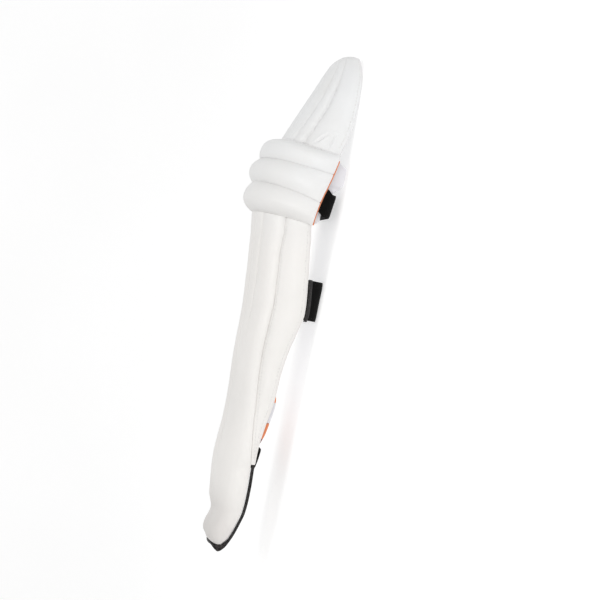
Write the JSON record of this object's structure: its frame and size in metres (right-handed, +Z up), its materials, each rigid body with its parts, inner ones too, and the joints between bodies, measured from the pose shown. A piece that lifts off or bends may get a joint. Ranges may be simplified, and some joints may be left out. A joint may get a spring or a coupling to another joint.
{
  "type": "cricket leg guard",
  "caption": "Padded cricket leg guard lying on its back: channelled shin face, side wings, knee rolls, top hat, inner padding and fastened straps.",
  "frame": {"origin": "on the floor, under the middle of the guard's bounding box, with the guard lying on its back", "axes": "+Y along the guard from the toe to the top hat, +Z up out of the shin face and knee rolls, +X across the guard towards its outer side"},
  "size_m": [0.222, 0.7004, 0.1224],
  "materials": {
    "white_face": "soft satin grain",
    "white_cloth": "plain weave",
    "orange_trim": "plain weave",
    "black_webbing": "hook and loop webbing",
    "black_binding": "coarse grain"
  },
  "bodies": {
    "root": {"shin_face": "white_face", "side_wing_outer": "white_face", "side_wing_inner": "white_face", "knee_panel": "white_face", "knee_roll_lower": "white_face", "knee_roll_middle": "white_face", "knee_roll_upper": "white_face", "top_hat": "white_face", "knee_bolster": "white_cloth", "shin_lining": "white_cloth", "ankle_lining": "orange_trim", "knee_piping_outer": "orange_trim", "knee_piping_inner": "orange_trim", "knee_strap": "black_webbing", "calf_strap": "black_webbing", "ankle_strap": "black_webbing", "calf_strap_tab": "black_binding", "instep_binding": "black_binding"}
  },
  "joints": []
}
